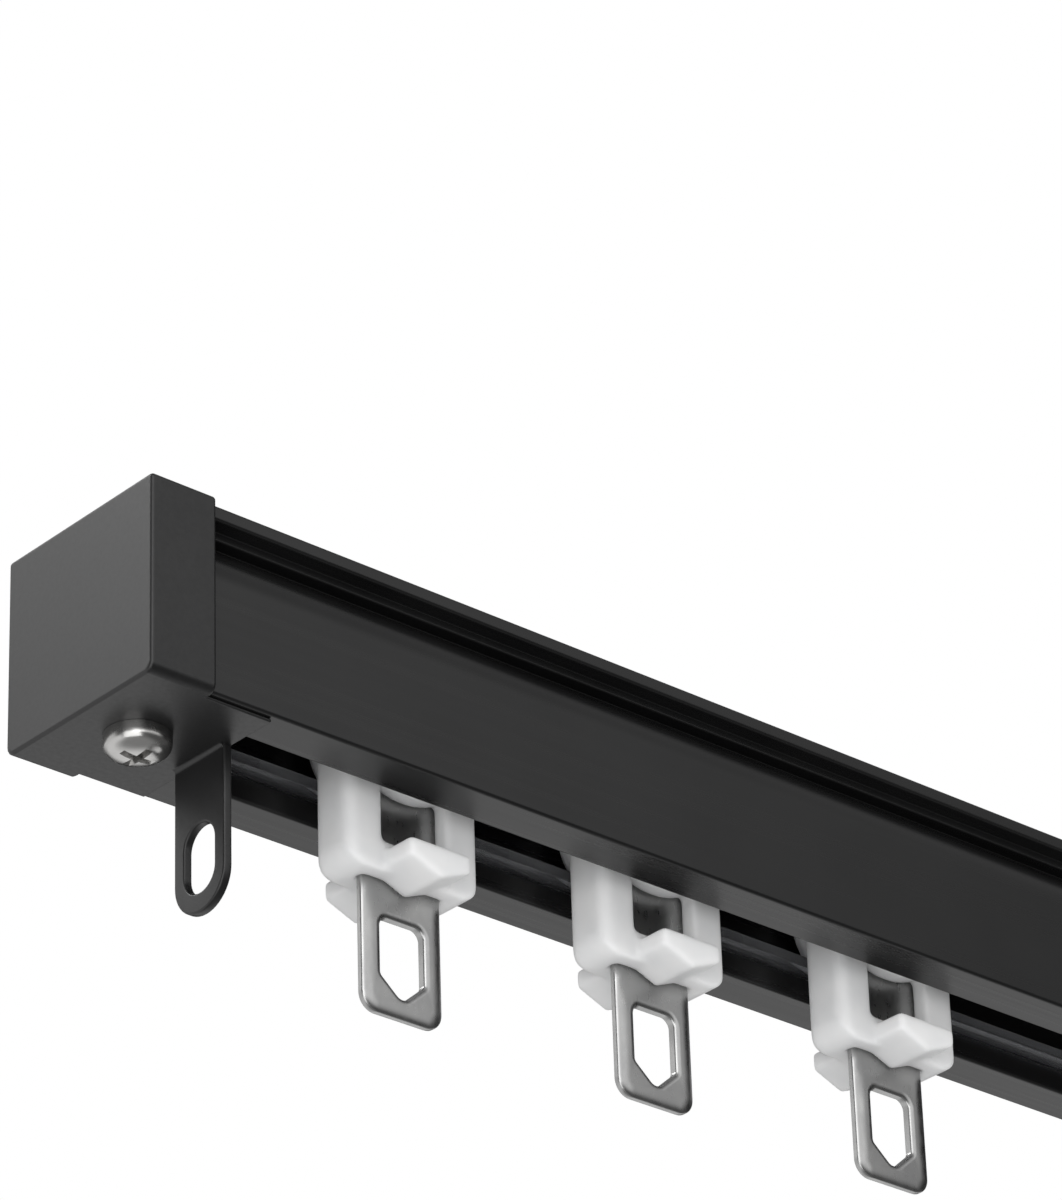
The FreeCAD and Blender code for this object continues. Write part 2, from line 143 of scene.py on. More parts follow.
# Tab of the end cap
TAB_THICKNESS = 1.2
TAB_HALF = 4.6
TAB_BOTTOM = CAP_LOW.z
TAB_EDGE = 0.3
TAB_OVERLAP = 0.3
TAB_EYE_HALF = 2.7
TAB_EYE_TOP = -33.4
TAB_EYE_BOTTOM = -42.1
BEND_RADIUS = 0.6
BEND_HALF = TAB_HALF - 0.2
BEND_EDGE = 0.1

# Screw, with a cross recess whose arms are wider at the mouth than at the foot
SCREW_SEAT = CAP_BOTTOM - 0.03
SCREW_HEAD_RADIUS = 4.0
SCREW_HEAD_HEIGHT = 3.0
SCREW_X = SCREW_HIGH.x - SCREW_HEAD_RADIUS
SCREW_RIM = 0.9
CROWN_FULLNESS = 0.8
SCREW_RADIUS = 2.0
SCREW_TOP = SCREW_HIGH.z
CROSS_LENGTH = 5.0
CROSS_WIDTH = 1.1
CROSS_DEPTH = 1.1
CROSS_MOUTH = 0.5
CROSS_MOUTH_SHARE = 1.15
CROSS_FOOT_SHARE = 0.55

# Wheels and axles of the carriers
CARRIERS = 4
AXLE_Z = (WHEEL_LOW.z + WHEEL_HIGH.z) / 2
AXLE_RADIUS = AXLE_HIGH.z - AXLE_Z
AXLE_END = AXLE_HIGH.y
AXLE_CHAMFER = 0.3
WHEEL_RADIUS = (WHEEL_HIGH.z - WHEEL_LOW.z) / 2
WHEEL_HALF = (WHEEL_HIGH.y - WHEEL_LOW.y) / 2
WHEEL_Y = (WHEEL_LOW.y + WHEEL_HIGH.y) / 2
TREAD_DEPTH = 1.9
TREAD_FULLNESS = 0.8
TREAD_SPREAD = 0.9
HUB_RADIUS = 2.8

# A wheel's face from its tread to its hub: the dish, the raised ring and the rim of the bore,
# each point with its radius and how far it is set back
WHEEL_FACE = [
    (4.2, 0.18), (3.6, 0.3), (3.5, 0.3), (3.42, 0.12), (3.1, 0.12), (3.02, 0.35), (HUB_RADIUS, 0.35),
]

# Hook plates. The roll is how wide an edge is rounded over, and the drop is how deep.
PLATE_HALF = (PLATE_HIGH.x - PLATE_LOW.x) / 2
PLATE_FACE = PLATE_HIGH.y
PLATE_TOP = BODY_HIGH.z - 0.2
PLATE_TOP_CORNER = 0.9
PLATE_BOTTOM = PLATE_LOW.z
PLATE_CORNER = 2.3
PLATE_ROLL = 1.6
PLATE_DROP = 0.52
BORE_RADIUS = AXLE_RADIUS + 0.02
EYE_HALF = 3.3
EYE_TOP = PLATE_BOTTOM + 12.35
EYE_SIDE = PLATE_BOTTOM + 4.95
EYE_POINT = PLATE_BOTTOM + 2.12
EYE_CORNER = 1.3
EYE_BEND = 0.8
EYE_ROLL = 0.75
EYE_DROP = 0.4

# Softness of the moulded bodies
BODY_VOXEL = 0.24
BODY_SMOOTHING = 22
SMOOTHING_FACTOR = 0.5

# The part of a noise pattern's range that most of it falls in
NOISE_LOW = 0.3
NOISE_HIGH = 0.7

# Camera of the lower view, and the point that the lamps look at
CAMERA_PLACE = Vector((-500.325, -456.350, -327.499))
CAMERA_RIGHT = Vector((0.75408555, -0.65615041, -0.02866405))
CAMERA_FORWARD = Vector((0.58425078, 0.65023941, 0.48563332))
SENSOR_WIDTH = 36
LENS = 171.69
CLIP_START = 0.01
CLIP_END = 100
LAMP_TARGET = Vector((-80, 0, -20))


# Outlines and meshes

def across(u, v, w):
    """A section point (y, z) at a distance along the track."""
    return Vector((w, u, v)) * MM


def facing(u, v, w):
    """A point (x, z) of a plate that stands along the track, at a y."""
    return Vector((u, w, v)) * MM


def upright(u, v, w):
    """A point (x, y) at a height."""
    return Vector((u, v, w)) * MM


def arc_points(u, v, radius, start, end, steps=ARC_STEPS):
    """Points on an arc, from one angle to another in degrees."""
    turns = [math.radians(start + (end - start) * k / steps) for k in range(steps + 1)]
    return [Vector((u + radius * math.cos(a), v + radius * math.sin(a))) for a in turns]


def rounded_outline(corners, steps=EDGE_STEPS):
    """A closed outline through (u, v, radius) corners, each with a tangent arc."""
    points = []
    for i, (u, v, radius) in enumerate(corners):
        corner = Vector((u, v))
        if radius == 0:
            points.append(corner)
            continue
        before = (Vector(corners[i - 1][:2]) - corner).normalized()
        after = (Vector(corners[(i + 1) % len(corners)][:2]) - corner).normalized()
        half = before.angle(after) / 2
        centre = corner + (before + after).normalized() * radius / math.sin(half)
        start = corner + before * radius / math.tan(half) - centre
        end = corner + after * radius / math.tan(half) - centre
        sweep = math.atan2(start.x * end.y - start.y * end.x, start.dot(end))
        for k in range(steps + 1):
            points.append(centre + Matrix.Rotation(sweep * k / steps, 2) @ start)
    return points


def mirrored(half):
    """An outline's (u, v, radius) corners on one side, followed by the same on the other side."""
    return half + [(-u, v, radius) for u, v, radius in reversed(half)]


def sharp_corners(points):
    """Points as the corners of an outline, none of them rounded."""
    return [(point.x, point.y, 0) for point in points]


def wound(loop, counter_clockwise):
    """The loop, turned round if it runs the other way."""
    area = sum(a.x * b.y - a.y * b.x for a, b in zip(loop, loop[1:] + loop[:1]))
    return loop if (area > 0) == counter_clockwise else loop[::-1]


def pulled_in(loop, distance):
    """The loop moved by a distance into the material on its left."""
    moved = []
    for i, point in enumerate(loop):
        before = (point - loop[i - 1]).normalized()
        after = (loop[(i + 1) % len(loop)] - point).normalized()
        normal = Vector((-before.y - after.y, before.x + after.x))
        moved.append(point + normal * distance / (1 + before.dot(after)))
    return moved


def rim_layers(plane, inward, width, depth, steps=EDGE_STEPS):
    """The height and the inset of each ring of one rounded rim, from its end face to its side."""
    turns = [math.pi / 2 * k / steps for k in range(steps + 1)]
    return [(plane + inward * depth * (1 - math.cos(a)), width * (1 - math.sin(a))) for a in turns]


def rim_edges(mesh, ring):
    """The edges of one ring of a mesh."""
    return [mesh.edges.get((ring[i - 1], ring[i])) for i in range(len(ring))]


def solid_through(sides, place):
    """A solid between two flat ends, with each side passing through its rings of (height, loop)."""
    mesh = bmesh.new()
    low_rims = []
    high_rims = []
    for side in sides:
        rings = [[mesh.verts.new(place(p.x, p.y, w)) for p in loop] for w, loop in side]
        for lower, upper in zip(rings, rings[1:]):
            for i in range(len(lower)):
                mesh.faces.new((lower[i - 1], lower[i], upper[i], upper[i - 1]))
        low_rims += rim_edges(mesh, rings[0])
        high_rims += rim_edges(mesh, rings[-1])
    bmesh.ops.triangle_fill(mesh, use_beauty=True, edges=low_rims)
    bmesh.ops.triangle_fill(mesh, use_beauty=True, edges=high_rims)
    return mesh


def rounded_prism(outer, holes, low, high, edge_low, edge_high, place):
    """A solid between two planes, with rounded rims."""
    layers = rim_layers(low, 1, edge_low, edge_low)
    layers += rim_layers(high, -1, edge_high, edge_high)[::-1]
    loops = [wound(outer, True)] + [wound(hole, False) for hole in holes]
    return solid_through([[(w, pulled_in(loop, inset)) for w, inset in layers] for loop in loops], place)


def lathe(profile, place):
    """A closed profile of (radius, along) turned round its axis."""
    mesh = bmesh.new()
    rings = []
    for k in range(TURN_STEPS):
        turn = 2 * math.pi * k / TURN_STEPS
        rings.append([mesh.verts.new(place(r * math.cos(turn), r * math.sin(turn), w)) for r, w in profile])
    for k in range(TURN_STEPS):
        for i in range(len(profile)):
            mesh.faces.new((rings[k - 1][i - 1], rings[k - 1][i], rings[k][i], rings[k][i - 1]))
    bmesh.ops.remove_doubles(mesh, verts=mesh.verts, dist=MERGE_DISTANCE * MM)
    return mesh


def mesh_data(name, mesh):
    """A bmesh as mesh data, with its faces turned outward."""
    bmesh.ops.recalc_face_normals(mesh, faces=mesh.faces)
    data = bpy.data.meshes.new(name)
    mesh.to_mesh(data)
    mesh.free()
    return data


def evaluated_data(thing):
    """The mesh data of an object once its modifiers have worked on it. The object goes."""
    bpy.context.view_layer.update()
    data = bpy.data.meshes.new_from_object(thing.evaluated_get(bpy.context.evaluated_depsgraph_get()))
    bpy.data.objects.remove(thing)
    return data


def combined(name, data, tool, operation):
    """The mesh with another one joined to it or taken out of it."""
    target = bpy.data.objects.new("target", data)
    cutter = bpy.data.objects.new("cutter", tool)
    for thing in (target, cutter):
        bpy.context.scene.collection.objects.link(thing)
    change = target.modifiers.new("change", "BOOLEAN")
    change.object = cutter
    change.operation = operation
    change.solver = "EXACT"
    result = evaluated_data(target)
    result.name = name
    bpy.data.objects.remove(cutter)
    return result


def add_piece(name, data, materials, body, slot, node):
    """A piece in place of a solid: smooth where it is round, in its slot's finish, on its body."""
    data.polygons.foreach_set("use_smooth", [True] * len(data.polygons))
    data.set_sharp_from_angle(angle=SHARP_ANGLE)
    data.materials.clear()
    data.materials.append(materials[slot])
    piece = bpy.data.objects.new(name, data)
    bpy.context.scene.collection.objects.link(piece)
    weighted = piece.modifiers.new("flat faces stay flat", "WEIGHTED_NORMAL")
    weighted.keep_sharp = True
    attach(piece, body)
    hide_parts(node)
    return piece


# Materials

def new_material(name, color, roughness, metallic=0.0, specular=0.5):
    """A material with one principled shader."""
    material = bpy.data.materials.new(name)
    material.use_nodes = True
    shader = material.node_tree.nodes["Principled BSDF"]
    shader.inputs["Base Color"].default_value = (*color, 1)
    shader.inputs["Roughness"].default_value = roughness
    shader.inputs["Metallic"].default_value = metallic
    shader.inputs["Specular IOR Level"].default_value = specular
    return material, shader


def add_noise(material, scale, detail=3.0, stretch=(1, 1, 1)):
    """A noise pattern fixed to the piece, finer where the stretch is larger."""
    nodes = material.node_tree.nodes
    links = material.node_tree.links
    coordinates = nodes.new("ShaderNodeTexCoord")
    mapping = nodes.new("ShaderNodeMapping")
    mapping.inputs["Scale"].default_value = stretch
    pattern = nodes.new("ShaderNodeTexNoise")
    pattern.inputs["Scale"].default_value = scale
    pattern.inputs["Detail"].default_value = detail
    links.new(coordinates.outputs["Object"], mapping.inputs["Vector"])
    links.new(mapping.outputs["Vector"], pattern.inputs["Vector"])
    return pattern.outputs["Fac"]


def vary_roughness(material, shader, pattern, low, high):
    """Roughness that follows a pattern."""
    span = material.node_tree.nodes.new("ShaderNodeMapRange")
    span.inputs["From Min"].default_value = NOISE_LOW
    span.inputs["From Max"].default_value = NOISE_HIGH
    span.inputs["To Min"].default_value = low
    span.inputs["To Max"].default_value = high
    material.node_tree.links.new(pattern, span.inputs["Value"])
    material.node_tree.links.new(span.outputs["Result"], shader.inputs["Roughness"])


def vary_color(material, shader, pattern, dark, light):
    """Colour that follows a pattern."""
    ramp = material.node_tree.nodes.new("ShaderNodeValToRGB")
    ramp.color_ramp.elements[0].position = NOISE_LOW
    ramp.color_ramp.elements[0].color = (*dark, 1)
    ramp.color_ramp.elements[1].position = NOISE_HIGH
    ramp.color_ramp.elements[1].color = (*light, 1)
    material.node_tree.links.new(pattern, ramp.inputs["Fac"])
    material.node_tree.links.new(ramp.outputs["Color"], shader.inputs["Base Color"])


def add_bump(material, shader, pattern, strength, depth):
    """Relief from a pattern, with its depth in millimetres."""
    bump = material.node_tree.nodes.new("ShaderNodeBump")
    bump.inputs["Strength"].default_value = strength
    bump.inputs["Distance"].default_value = depth * MM
    material.node_tree.links.new(pattern, bump.inputs["Height"])
    material.node_tree.links.new(bump.outputs["Normal"], shader.inputs["Normal"])


def anodised_black():
    """Satin black anodising over the fine lines that the extrusion die leaves."""
    material, shader = new_material("anodised_black", (0.006, 0.006, 0.006), 0.29, specular=0.4)
    die_lines = add_noise(material, 900, detail=2.0, stretch=(0.01, 1, 1))
    vary_roughness(material, shader, die_lines, 0.26, 0.32)
    clouds = add_noise(material, 60)
    vary_color(material, shader, clouds, dark=(0.0055, 0.0055, 0.0057), light=(0.0085, 0.0085, 0.0087))
    add_bump(material, shader, die_lines, strength=0.25, depth=0.004)
    return material


def cut_aluminium():
    """Bare aluminium at the sawn end, with faint saw marks."""
    material, shader = new_material("cut_aluminium", (0.78, 0.79, 0.8), 0.42, metallic=1.0)
    saw_marks = add_noise(material, 500, detail=4.0, stretch=(1, 0.25, 2.5))
    vary_roughness(material, shader, saw_marks, 0.36, 0.52)
    grain = add_noise(material, 1500)
    vary_color(material, shader, grain, dark=(0.7, 0.71, 0.72), light=(0.84, 0.85, 0.86))
    add_bump(material, shader, saw_marks, strength=0.4, depth=0.02)
    return material


def powder_coat():
    """Dark grey powder coat on the die-cast cap, with its fine orange peel."""
    material, shader = new_material("powder_coat", (0.008, 0.008, 0.0083), 0.38)
    peel = add_noise(material, 1800)
    vary_roughness(material, shader, peel, 0.34, 0.42)
    clouds = add_noise(material, 80)
    vary_color(material, shader, clouds, dark=(0.007, 0.007, 0.0073), light=(0.0095, 0.0095, 0.0098))
    add_bump(material, shader, peel, strength=0.3, depth=0.012)
    return material


def milky_nylon():
    """Natural nylon: milky, a little see-through and semi-gloss."""
    material, shader = new_material("milky_nylon", (0.77, 0.77, 0.77), 0.42, specular=0.2)
    shader.inputs["Subsurface Weight"].default_value = 0.8
    shader.inputs["Subsurface Radius"].default_value = (1.0, 1.0, 1.0)
    shader.inputs["Subsurface Scale"].default_value = 0.003
    flow = add_noise(material, 220, detail=2.0)
    vary_roughness(material, shader, flow, 0.36, 0.48)
    vary_color(material, shader, flow, dark=(0.74, 0.745, 0.75), light=(0.8, 0.8, 0.8))
    add_bump(material, shader, add_noise(material, 900), strength=0.12, depth=0.012)
    return material


def tumbled_stainless():
    """Stamped stainless plate after tumbling: satin faces with a fine all-over grain."""
    material, shader = new_material("tumbled_stainless", (0.39, 0.39, 0.39), 0.3, metallic=1.0)
    grain = add_noise(material, 1400, detail=4.0, stretch=(1, 1, 0.35))
    vary_roughness(material, shader, grain, 0.25, 0.36)
    clouds = add_noise(material, 180)
    vary_color(material, shader, clouds, dark=(0.36, 0.36, 0.36), light=(0.43, 0.43, 0.425))
    add_bump(material, shader, grain, strength=0.18, depth=0.008)
    return material


def nickel_plate():
    """Bright nickel on the cap's screw."""
    material, shader = new_material("nickel_plate", (0.5, 0.495, 0.485), 0.24, metallic=1.0)
    vary_roughness(material, shader, add_noise(material, 700), 0.2, 0.28)
    clouds = add_noise(material, 300)
    vary_color(material, shader, clouds, dark=(0.46, 0.455, 0.445), light=(0.54, 0.535, 0.525))
    return material


def zinc_steel():
    """Zinc-plated steel of the clamp plate inside the cap."""
    material, shader = new_material("zinc_steel", (0.5, 0.5, 0.52), 0.4, metallic=1.0)
    vary_roughness(material, shader, add_noise(material, 400), 0.33, 0.5)
    clouds = add_noise(material, 250)
    vary_color(material, shader, clouds, dark=(0.44, 0.44, 0.47), light=(0.56, 0.56, 0.58))
    return material


def black_steel():
    """Blackened steel of the axles."""
    material, shader = new_material("black_steel", (0.012, 0.012, 0.012), 0.4, specular=0.4)
    vary_roughness(material, shader, add_noise(material, 600), 0.33, 0.47)
    clouds = add_noise(material, 300)
    vary_color(material, shader, clouds, dark=(0.01, 0.01, 0.01), light=(0.017, 0.017, 0.017))
    return material


def clear_plastic():
    """Clear extruded plastic of the running strips, with faint lines along them."""
    material, shader = new_material("clear_plastic", (0.86, 0.87, 0.9), 0.05, specular=0.25)
    shader.inputs["Transmission Weight"].default_value = 0.95
    shader.inputs["IOR"].default_value = 1.49
    lines = add_noise(material, 700, detail=2.0, stretch=(0.01, 1, 1))
    vary_roughness(material, shader, lines, 0.03, 0.12)
    add_bump(material, shader, lines, strength=0.3, depth=0.02)
    return material


# The track and its strips

def track_outline():
    """The track's section: one closed loop round the outside and the channel."""
    neck_rise = math.sqrt(SHOULDER_RADIUS ** 2 - (NECK_Y - HALF_WIDTH + SHOULDER_RADIUS) ** 2)
    neck_angle = math.degrees(math.asin(neck_rise / SHOULDER_RADIUS))
    shoulder_y = HALF_WIDTH - SHOULDER_RADIUS
    shoulder = arc_points(shoulder_y, SHOULDER_Z, SHOULDER_RADIUS, neck_angle, 0, FINE_STEPS)
    groove_rise = math.sqrt(GROOVE_RADIUS ** 2 - GROOVE_HALF ** 2)
    groove_angle = math.degrees(math.asin(groove_rise / GROOVE_RADIUS))
    groove = arc_points(BULB_Y, BULB_Z, GROOVE_RADIUS, 180 - groove_angle, 360 + groove_angle, SMALL_STEPS)
    ceiling_angle = math.degrees(math.asin((CROWN_BOTTOM - SHOULDER_Z) / CHANNEL_RADIUS))
    channel_y = WALL_Y - CHANNEL_RADIUS
    channel = arc_points(channel_y, SHOULDER_Z, CHANNEL_RADIUS, 0, ceiling_angle, FINE_STEPS)
    half = [
        (HALF_WIDTH, 0, EDGE_RADIUS),
        (HALF_WIDTH, FLANGE_BOTTOM, EDGE_RADIUS),
        (STEP_Y, FLANGE_BOTTOM, STEP_CORNER),
        (STEP_Y, CROWN_BOTTOM, STEP_FILLET),
        (NECK_Y, CROWN_BOTTOM, STEP_CORNER),
    ]
    half += sharp_corners(shoulder)
    half += [
        (HALF_WIDTH, TRACK_BOTTOM, LOWER_EDGE_RADIUS),
        (SLOT_Y, TRACK_BOTTOM, EDGE_RADIUS),
        (SLOT_Y, LIP_CORNER, LIP_CORNER_RADIUS),
        (BULB_Y - GROOVE_HALF, LIP_TOP, GROOVE_CORNER),
    ]
    half += sharp_corners(groove)
    half += [(BULB_Y + GROOVE_HALF, LIP_TOP, GROOVE_CORNER), (WALL_Y, LIP_TOP, WALL_FILLET)]
    half += sharp_corners(channel)
    return rounded_outline(mirrored(half))


def make_track(materials):
    """The extrusion, with bare metal at its sawn end."""
    mesh = rounded_prism(track_outline(), [], TRACK_START, TRACK_END, CUT_EDGE, CUT_EDGE, across)
    data = mesh_data("track_shell", mesh)
    track = add_piece("track_shell", data, materials, "track", "track_black", "track_profile")
    track.data.materials.append(materials["cut"])
    for face in track.data.polygons:
        face.material_index = int(face.center.x > (TRACK_END - CUT_TOLERANCE) * MM)


def strip_outline(side):
    """A strip's section: a hollowed head on a short neck and a round bulb."""
    hollow_radius = (STRIP_HALF ** 2 + STRIP_HOLLOW ** 2) / (2 * STRIP_HOLLOW)
    hollow_angle = math.degrees(math.asin(STRIP_HALF / hollow_radius))
    centre_z = STRIP_TOP - STRIP_HOLLOW + hollow_radius
    hollow = arc_points(STRIP_Y, centre_z, hollow_radius, 270 - hollow_angle, 270 + hollow_angle)
    neck_rise = math.sqrt(BULB_RADIUS ** 2 - STRIP_NECK_HALF ** 2)
    neck_angle = math.degrees(math.asin(neck_rise / BULB_RADIUS))
    bulb = arc_points(BULB_Y, BULB_Z, BULB_RADIUS, neck_angle, -180 - neck_angle, ROUND_STEPS)
    far = [STRIP_Y + STRIP_HALF, BULB_Y + STRIP_NECK_HALF]
    near = [BULB_Y - STRIP_NECK_HALF, STRIP_Y - STRIP_HALF]
    corners = sharp_corners(hollow)
    corners += [(y, STRIP_TOP - STRIP_THICKNESS, STRIP_CORNER) for y in far]
    corners += sharp_corners(bulb)
    corners += [(y, STRIP_TOP - STRIP_THICKNESS, STRIP_CORNER) for y in near]
    return [Vector((side * p.x, p.y)) for p in rounded_outline(corners)]


def make_strips(materials):
    """The two clear strips, each in its lip's groove."""
    for name, side in SIDES.items():
        mesh = rounded_prism(strip_outline(side), [], TRACK_START, STRIP_END, CUT_EDGE, CUT_EDGE, across)
        data = mesh_data("strip_" + name, mesh)
        add_piece("strip_" + name, data, materials, "track", "strip_clear", "running_strip_" + name)


# The end cap and its screw

def rectangle(half, low, high, radius, top_radius):
    """A rectangle across the track, from one height to another."""
    return rounded_outline(mirrored([(half, low, radius), (half, high, top_radius)]))


def spigot_outline(inset):
    """The channel's section pulled in by an inset and closed by the spigot's floor."""
    radius = CHANNEL_RADIUS - inset
    angle = math.degrees(math.asin((CROWN_BOTTOM - inset - SHOULDER_Z) / radius))
    arch = arc_points(WALL_Y - CHANNEL_RADIUS, SHOULDER_Z, radius, 0, angle, SMALL_STEPS)
    return rounded_outline(mirrored([(WALL_Y - inset, SPIGOT_FLOOR, 0)] + sharp_corners(arch)))


def tab_outline():
    """The tab from inside the tongue down to its round end."""
    end = arc_points(0, TAB_BOTTOM + TAB_HALF, TAB_HALF, 180, 360, FINE_STEPS)
    return [Vector((side * TAB_HALF, CAP_BOTTOM + TAB_OVERLAP)) for side in SIDES.values()] + end


def tab_eye_outline():
    """The tab's long eye, with round ends."""
    low = arc_points(0, TAB_EYE_BOTTOM + TAB_EYE_HALF, TAB_EYE_HALF, 180, 360, ROUND_STEPS)
    high = arc_points(0, TAB_EYE_TOP - TAB_EYE_HALF, TAB_EYE_HALF, 0, 180, ROUND_STEPS)
    return low + high


def tab_bend_outline():
    """The bend between the tongue and the tab, seen from the side."""
    face = TONGUE_END - TAB_THICKNESS
    inner_x = face + TAB_OVERLAP
    inner_z = CAP_BOTTOM + TAB_OVERLAP
    bend = arc_points(face - BEND_RADIUS, CAP_BOTTOM - BEND_RADIUS, BEND_RADIUS, 90, 0)
    inside = [(inner_x, CAP_BOTTOM - BEND_RADIUS), (inner_x, inner_z), (face - BEND_RADIUS, inner_z)]
    return bend + [Vector(point) for point in inside]


def cap_block():
    """The cap's outer block."""
    outline = rectangle(CAP_HALF, CAP_BOTTOM, CAP_TOP, CAP_CORNER, CAP_TOP_CORNER)
    return rounded_prism(outline, [], CAP_OUTER, TRACK_START, CAP_EDGE, CAP_EDGE, across)


def cap_tongue():
    """The tongue that runs on from the block under the track."""
    outline = rectangle(TONGUE_HALF, CAP_BOTTOM, TONGUE_TOP, TONGUE_CORNER, TONGUE_CORNER)
    return rounded_prism(outline, [], TONGUE_START, TONGUE_END, CUT_EDGE, TONGUE_EDGE, across)


def cap_rib():
    """The rib on the tongue, up between the track's lips."""
    outline = rectangle(RIB_HALF, RIB_BOTTOM, RIB_TOP, RIB_CORNER, RIB_CORNER)
    return rounded_prism(outline, [], RIB_START, RIB_END, CUT_EDGE, EDGE_RADIUS, across)


def cap_tab():
    """The tab that hangs from the tongue's end."""
    start = TONGUE_END - TAB_THICKNESS
    return rounded_prism(tab_outline(), [tab_eye_outline()], start, TONGUE_END, TAB_EDGE, TAB_EDGE, across)


def cap_bend():
    """The fillet where the tongue turns down into the tab."""
    return rounded_prism(tab_bend_outline(), [], -BEND_HALF, BEND_HALF, BEND_EDGE, BEND_EDGE, facing)


def cap_spigot():
    """The hollow spigot inside the channel."""
    outer = spigot_outline(SPIGOT_INSET)
    inner = spigot_outline(SPIGOT_INSET + SPIGOT_WALL)
    return rounded_prism(outer, [inner], SPIGOT_START, SPIGOT_END, CUT_EDGE, EDGE_RADIUS, across)


def make_cap(materials):
    """The cap: one casting of its block, tongue, rib, tab and bend, and the spigot behind it."""
    casting = mesh_data("cap_casting", cap_block())
    for shape in (cap_tongue(), cap_rib(), cap_tab(), cap_bend()):
        casting = combined("cap_casting", casting, mesh_data("cap_part", shape), "UNION")
    add_piece("cap_casting", casting, materials, "track", "cap_grey", "end_cap")
    spigot = mesh_data("cap_spigot", cap_spigot())
    add_piece("cap_spigot", spigot, materials, "track", "cap_grey", "end_cap")


def screw_profile():
    """A pan head with a domed crown, and its shank, as (radius, height)."""
    crown = SCREW_HEAD_HEIGHT - SCREW_RIM
    bottom = SCREW_SEAT - SCREW_RIM
    dome = []
    for k in range(ARC_STEPS + 1):
        turn = math.pi / 2 * k / ARC_STEPS
        out = SCREW_HEAD_RADIUS * max(math.cos(turn), 0) ** CROWN_FULLNESS
        dome.append((out, bottom - crown * math.sin(turn) ** CROWN_FULLNESS))
    shank = [(0, SCREW_TOP), (SCREW_RADIUS, SCREW_TOP), (SCREW_RADIUS, SCREW_SEAT)]
    return shank + [(SCREW_HEAD_RADIUS, SCREW_SEAT)] + dome


def recess_wedge(half_x, half_y):
    """One arm of the cross recess, tapered into the head."""
    mesh = bmesh.new()
    crest = SCREW_SEAT - SCREW_HEAD_HEIGHT
    rings = []
    for z, share in ((crest - CROSS_MOUTH, CROSS_MOUTH_SHARE), (crest + CROSS_DEPTH, CROSS_FOOT_SHARE)):
        corners = ((-half_x, -half_y), (half_x, -half_y), (half_x, half_y), (-half_x, half_y))
        rings.append([mesh.verts.new(upright(x * share, y * share, z)) for x, y in corners])
        mesh.faces.new(rings[-1])
    mouth, foot = rings
    for i in range(len(mouth)):
        mesh.faces.new((mouth[i - 1], mouth[i], foot[i], foot[i - 1]))
    return mesh_data("recess_wedge", mesh)


def make_screw(materials):
    """The cap's screw, turned and then cut with its cross."""
    screw = mesh_data("turned_screw", lathe(screw_profile(), upright))
    for half_x, half_y in ((CROSS_LENGTH / 2, CROSS_WIDTH / 2), (CROSS_WIDTH / 2, CROSS_LENGTH / 2)):
        screw = combined("cap_screw_head", screw, recess_wedge(half_x, half_y), "DIFFERENCE")
    head = add_piece("cap_screw_head", screw, materials, "track", "screw_nickel", "cap_screw")
    head.location.x += SCREW_X * MM


# The carriers

def soft_body(node):
    """A carrier's moulded body: the solid's form with its edges softened all over."""
    rough = bpy.data.objects.new("rough_body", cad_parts[node].data.copy())
    bpy.context.scene.collection.objects.link(rough)
    remesh = rough.modifiers.new("even faces", "REMESH")
    remesh.mode = "VOXEL"
    remesh.voxel_size = BODY_VOXEL * MM
    smooth = rough.modifiers.new("soft edges", "SMOOTH")
    smooth.factor = SMOOTHING_FACTOR
    smooth.iterations = BODY_SMOOTHING
    return evaluated_data(rough)


def plate_outline(x, inset):
    """The plate's outline, its sides and foot drawn in. Its top is sheared off flat."""
    half = PLATE_HALF - inset
    foot = PLATE_BOTTOM + inset
    corner = PLATE_CORNER - inset
    left = [(x - half, PLATE_TOP, PLATE_TOP_CORNER), (x - half, foot, corner)]
    right = [(x + half, foot, corner), (x + half, PLATE_TOP, PLATE_TOP_CORNER)]
    return rounded_outline(left + right, ARC_STEPS)


def eye_outline(x):
    """The eye: straight sides that run in to a rounded point at the bottom."""
    left = [(x - EYE_HALF, EYE_TOP, EYE_CORNER), (x - EYE_HALF, EYE_SIDE, EYE_BEND)]
    right = [(x + EYE_HALF, EYE_SIDE, EYE_BEND), (x + EYE_HALF, EYE_TOP, EYE_CORNER)]
    return rounded_outline(left + [(x, EYE_POINT, EYE_CORNER)] + right, ARC_STEPS)


def plate_layers(width, depth):
    """The rings of a plate's edge from its near face to its far one, rolled over at both."""
    near = rim_layers(-PLATE_FACE, 1, width, depth, ARC_STEPS)
    return near + [(-w, inset) for w, inset in reversed(near)]


def rolled_plate(x):
    """The hook plate: rolled over at its outer edge and its eye, and crisp at its bore."""
    eye = wound(eye_outline(x), False)
    bore = wound(arc_points(x, AXLE_Z, BORE_RADIUS, 0, 360, BORE_STEPS)[:-1], False)
    return solid_through([
        [(w, wound(plate_outline(x, inset), True)) for w, inset in plate_layers(PLATE_ROLL, PLATE_DROP)],
        [(w, pulled_in(eye, inset)) for w, inset in plate_layers(EYE_ROLL, EYE_DROP)],
        [(w, pulled_in(bore, inset)) for w, inset in plate_layers(CUT_EDGE, CUT_EDGE)],
    ], facing)


def axle_pin(x):
    """The axle, with a small chamfer at each end."""
    face = AXLE_RADIUS - AXLE_CHAMFER
    rim = AXLE_END - AXLE_CHAMFER
    profile = [(0, -AXLE_END), (face, -AXLE_END), (AXLE_RADIUS, -rim),
               (AXLE_RADIUS, rim), (face, AXLE_END), (0, AXLE_END)]
    return lathe(profile, lambda u, v, w: facing(x + u, AXLE_Z + v, w))


